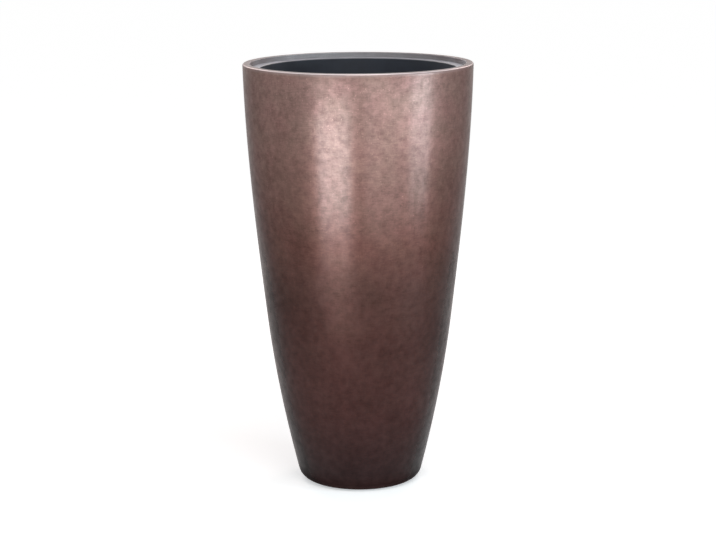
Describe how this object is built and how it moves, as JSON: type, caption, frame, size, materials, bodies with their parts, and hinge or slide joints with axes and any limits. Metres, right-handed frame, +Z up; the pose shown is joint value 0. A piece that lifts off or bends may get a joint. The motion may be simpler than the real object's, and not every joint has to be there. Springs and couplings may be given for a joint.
{
  "type": "tall planter",
  "caption": "Tall round floor planter with a bowed, tapering shell, a flat rim and a drop-in planting liner with a drain plug.",
  "frame": {"origin": "on the floor, under the middle of the round foot", "axes": "+Z up along the planter's centre line; the plan is round, so +X and +Y are free, and the foot pads lie at 45 degrees to both"},
  "size_m": [0.4899, 0.49, 0.91],
  "materials": {
    "shell_lacquer": "satin",
    "bonded_resin": "matte",
    "liner_plastic": "satin",
    "plug_rubber": "matte",
    "pad_rubber": "matte"
  },
  "bodies": {
    "shell": {"outer_shell": "shell_lacquer", "liner_seat_ring": "bonded_resin", "foot_pad_1": "pad_rubber", "foot_pad_2": "pad_rubber", "foot_pad_3": "pad_rubber", "foot_pad_4": "pad_rubber"},
    "liner": {"liner": "liner_plastic"},
    "drain_plug": {"liner_drain_plug": "plug_rubber"}
  },
  "joints": [
    {"name": "liner_lift", "type": "slide", "parent": "shell", "child": "liner", "axis": [0, 0, 1], "range_m": [0, 0.36]},
    {"name": "liner_plug_pull", "type": "slide", "parent": "liner", "child": "drain_plug", "axis": [0, 0, 1], "range_m": [0, 0.36]}
  ]
}
